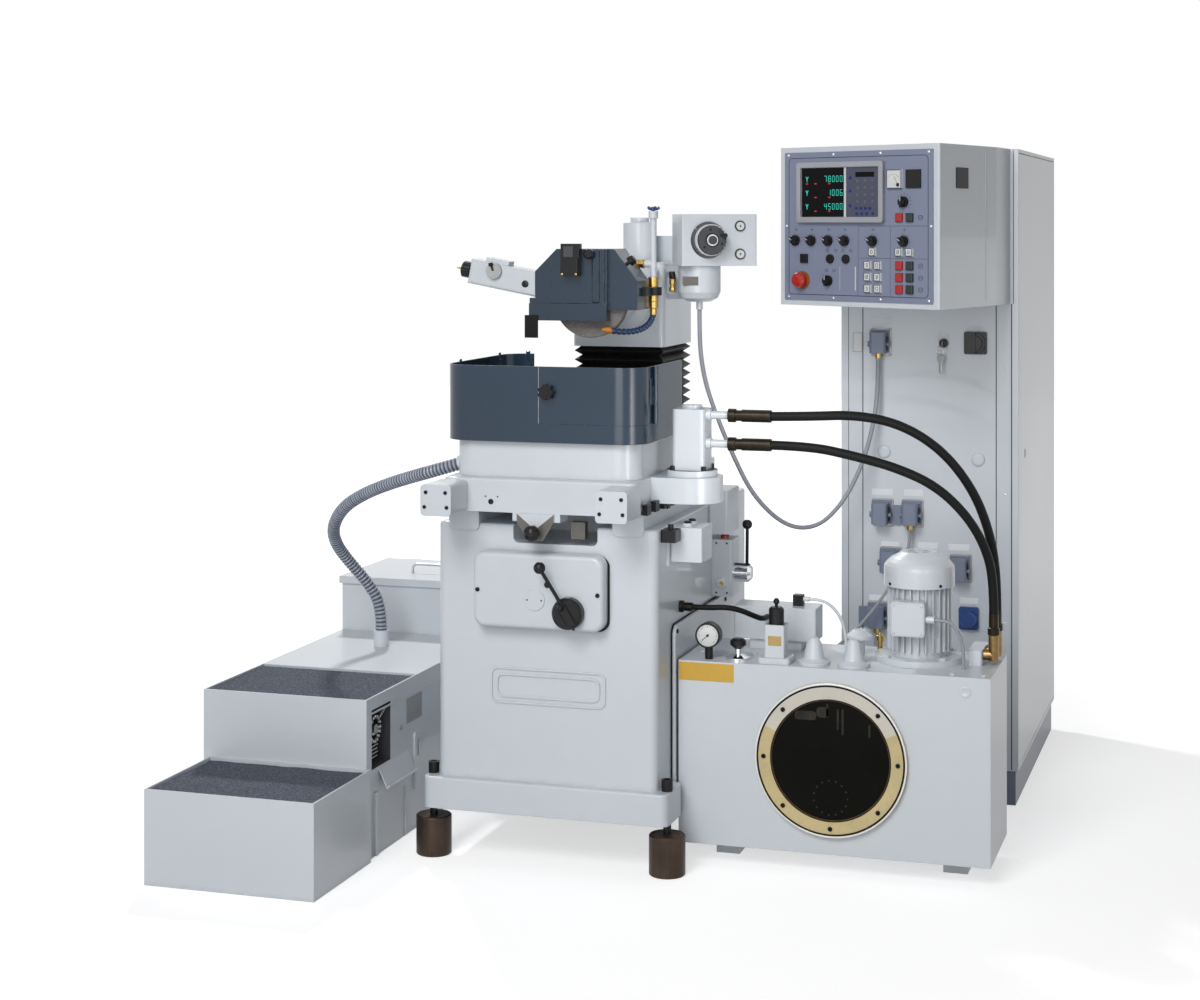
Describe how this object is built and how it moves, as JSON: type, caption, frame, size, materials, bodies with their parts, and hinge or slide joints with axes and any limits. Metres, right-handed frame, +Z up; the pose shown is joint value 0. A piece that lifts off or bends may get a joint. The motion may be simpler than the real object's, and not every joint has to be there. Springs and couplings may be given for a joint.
{
  "type": "rotary surface grinder",
  "caption": "Rotary surface grinder with a sliding magnetic turntable, a vertical grinding head, coolant filter, hydraulic tank and control cabinet.",
  "frame": {"origin": "on the floor, at the centre of the whole set's plan without its hoses and leads", "axes": "+X to the operator's right, +Y away from the operator, +Z up"},
  "size_m": [1.977, 2.31, 1.8],
  "materials": {
    "white_paint": "smooth two-pack enamel",
    "slate_paint": "smooth dark enamel",
    "steel": "machined",
    "chrome": "polished",
    "cast_screw": "ground",
    "rubber": "matt",
    "black_plastic": "matt moulded",
    "hood_plastic": "moulded",
    "hose_plastic": "ribbed flexible",
    "lead_plastic": "flexible sheath",
    "abrasive": "open-grained grit",
    "fleece": "felted",
    "glass": "clear",
    "panel_plastic": "printed foil",
    "red_plastic": "moulded",
    "green_plastic": "moulded",
    "white_plastic": "moulded",
    "blue_plastic": "moulded"
  },
  "bodies": {
    "base": {"machine_base": "white_paint", "levelling_feet": "steel", "access_covers": "white_paint", "cover_seals": "rubber", "valve_boxes": "white_paint", "feed_screw": "cast_screw", "bellows": "rubber", "fleece_bin": "white_paint", "filter_fleece": "fleece", "filter_housing": "white_paint", "pump_box": "white_paint", "hydraulic_tank": "white_paint", "sight_ring": "white_paint", "sight_window": "glass", "pump_motor": "white_paint", "tank_fittings": "white_paint", "cabinet_shell": "white_paint", "socket_hoods": "hood_plastic", "control_box": "white_paint", "control_panel": "panel_plastic", "drain_hose": "hose_plastic", "pressure_hoses": "rubber", "signal_leads": "lead_plastic"},
    "saddle": {"cross_slide": "white_paint", "table_motor": "white_paint", "coolant_pan": "white_paint", "splash_guard": "slate_paint"},
    "table": {"magnetic_chuck": "steel", "table_spindle": "steel"},
    "head": {"head_carriage": "white_paint", "spindle_housing": "white_paint", "wheel_guard": "slate_paint", "guard_fittings": "black_plastic", "dresser_arm": "white_paint", "coolant_pipe": "steel", "infeed_box": "white_paint", "feed_cable": "lead_plastic"},
    "wheel": {"grinding_wheel": "abrasive", "wheel_spindle": "steel"},
    "splash_door": {"splash_door": "slate_paint"},
    "splash_knob": {"splash_knob": "black_plastic"},
    "saddle_plunger": {"saddle_plunger": "steel"},
    "reversing_lever": {"reversing_lever": "black_plastic"},
    "selector_lever": {"selector_lever": "chrome"},
    "reset_button": {"reset_button": "red_plastic"},
    "infeed_handwheel": {"infeed_handwheel": "black_plastic"},
    "jog_buttons": {"jog_buttons": "white_plastic"},
    "dresser_knob": {"dresser_knob": "black_plastic"},
    "coolant_tap": {"coolant_tap": "blue_plastic"},
    "emergency_stop": {"emergency_stop": "red_plastic"},
    "main_switch": {"main_switch": "black_plastic"},
    "key_switch": {"key_switch": "chrome"},
    "mode_selector": {"mode_selector": "black_plastic"},
    "speed_knob": {"speed_knob": "black_plastic"},
    "stop_buttons": {"stop_buttons": "red_plastic"},
    "start_buttons": {"start_buttons": "green_plastic"},
    "function_buttons": {"function_buttons": "white_plastic"},
    "motor_rotor": {"motor_rotor": "steel"},
    "pump_box_lid": {"pump_box_lid": "white_paint"},
    "cabinet_side_door": {"cabinet_side_door": "white_paint"}
  },
  "joints": [
    {"name": "saddle_slide", "type": "slide", "parent": "base", "child": "saddle", "axis": [0, 1, 0], "range_m": [0, 0.15]},
    {"name": "table_spin", "type": "hinge", "parent": "saddle", "child": "table", "pos_m": [-0.0915, -0.51, 1.0843], "axis": [0, 0, 1], "continuous": true},
    {"name": "splash_door_hinge", "type": "hinge", "parent": "saddle", "child": "splash_door", "pos_m": [0.1775, -0.66, 1.1723], "axis": [0, 0, 1], "range_deg": [0, 90]},
    {"name": "splash_knob_turn", "type": "hinge", "parent": "splash_door", "child": "splash_knob", "pos_m": [-0.0725, -0.755, 1.1813], "axis": [0, -1, 0], "range_deg": [0, 180]},
    {"name": "saddle_plunger_pull", "type": "slide", "parent": "saddle", "child": "saddle_plunger", "axis": [0, -1, 0], "range_m": [0, 0.012], "stiffness_N_per_m": 400},
    {"name": "head_slide", "type": "slide", "parent": "base", "child": "head", "axis": [0, 0, 1], "range_m": [-0.15, 0], "deforming": ["bellows"]},
    {"name": "wheel_spin", "type": "hinge", "parent": "head", "child": "wheel", "pos_m": [-0.0915, -0.355, 1.394], "axis": [0, 1, 0], "continuous": true},
    {"name": "infeed_handwheel_turn", "type": "hinge", "parent": "head", "child": "infeed_handwheel", "pos_m": [0.17365, -0.1305, 1.551], "axis": [0.5, -0.866, 0], "continuous": true},
    {"name": "jog_buttons_push", "type": "slide", "parent": "head", "child": "jog_buttons", "axis": [-0.5, 0.866, 0], "range_m": [0, 0.003], "stiffness_N_per_m": 400},
    {"name": "dresser_knob_turn", "type": "hinge", "parent": "head", "child": "dresser_knob", "pos_m": [-0.2315, -0.363, 1.435], "axis": [-0.9833, 0, 0.1822], "continuous": true},
    {"name": "coolant_tap_turn", "type": "hinge", "parent": "head", "child": "coolant_tap", "pos_m": [0.0505, -0.243, 1.629], "axis": [0, 0, 1], "range_deg": [0, 90]},
    {"name": "reversing_lever_turn", "type": "hinge", "parent": "base", "child": "reversing_lever", "pos_m": [-0.0145, -0.76, 0.641], "axis": [0, -1, 0], "range_deg": [-30, 30]},
    {"name": "selector_lever_turn", "type": "hinge", "parent": "base", "child": "selector_lever", "pos_m": [0.2535, -0.1543, 0.661], "axis": [1, 0, 0], "range_deg": [-35, 35]},
    {"name": "reset_button_push", "type": "slide", "parent": "base", "child": "reset_button", "axis": [0, 0, -1], "range_m": [0, 0.004], "stiffness_N_per_m": 400},
    {"name": "main_switch_turn", "type": "hinge", "parent": "base", "child": "main_switch", "pos_m": [0.8475, 0.195, 1.267], "axis": [0, -1, 0], "range_deg": [-90, 0]},
    {"name": "key_switch_turn", "type": "hinge", "parent": "base", "child": "key_switch", "pos_m": [0.7605, 0.195, 1.265], "axis": [0, -1, 0], "range_deg": [-90, 0]},
    {"name": "emergency_stop_push", "type": "slide", "parent": "base", "child": "emergency_stop", "axis": [0.4896, 0.872, 0], "range_m": [0, 0.006]},
    {"name": "mode_selector_turn", "type": "hinge", "parent": "base", "child": "mode_selector", "pos_m": [0.50632, -0.14612, 1.4445], "axis": [-0.4896, -0.872, 0], "range_deg": [-60, 60]},
    {"name": "speed_knob_turn", "type": "hinge", "parent": "base", "child": "speed_knob", "pos_m": [0.72867, -0.27096, 1.6515], "axis": [-0.4896, -0.872, 0], "range_deg": [-135, 135]},
    {"name": "stop_buttons_push", "type": "slide", "parent": "base", "child": "stop_buttons", "axis": [0.4896, 0.872, 0], "range_m": [0, 0.003], "stiffness_N_per_m": 400},
    {"name": "start_buttons_push", "type": "slide", "parent": "base", "child": "start_buttons", "axis": [0.4896, 0.872, 0], "range_m": [0, 0.003], "stiffness_N_per_m": 400},
    {"name": "function_buttons_push", "type": "slide", "parent": "base", "child": "function_buttons", "axis": [0.4896, 0.872, 0], "range_m": [0, 0.003], "stiffness_N_per_m": 400},
    {"name": "motor_rotor_spin", "type": "hinge", "parent": "base", "child": "motor_rotor", "pos_m": [0.7885, -0.402, 0.605], "axis": [0, 0, 1], "continuous": true},
    {"name": "pump_box_lid_hinge", "type": "hinge", "parent": "base", "child": "pump_box_lid", "pos_m": [-0.755, 0.3985, 0.5558], "axis": [-1, 0, 0], "range_deg": [0, 95]},
    {"name": "cabinet_side_door_hinge", "type": "hinge", "parent": "base", "child": "cabinet_side_door", "pos_m": [0.9635, 1.143, 0.9], "axis": [0, 0, 1], "range_deg": [0, 110]}
  ]
}
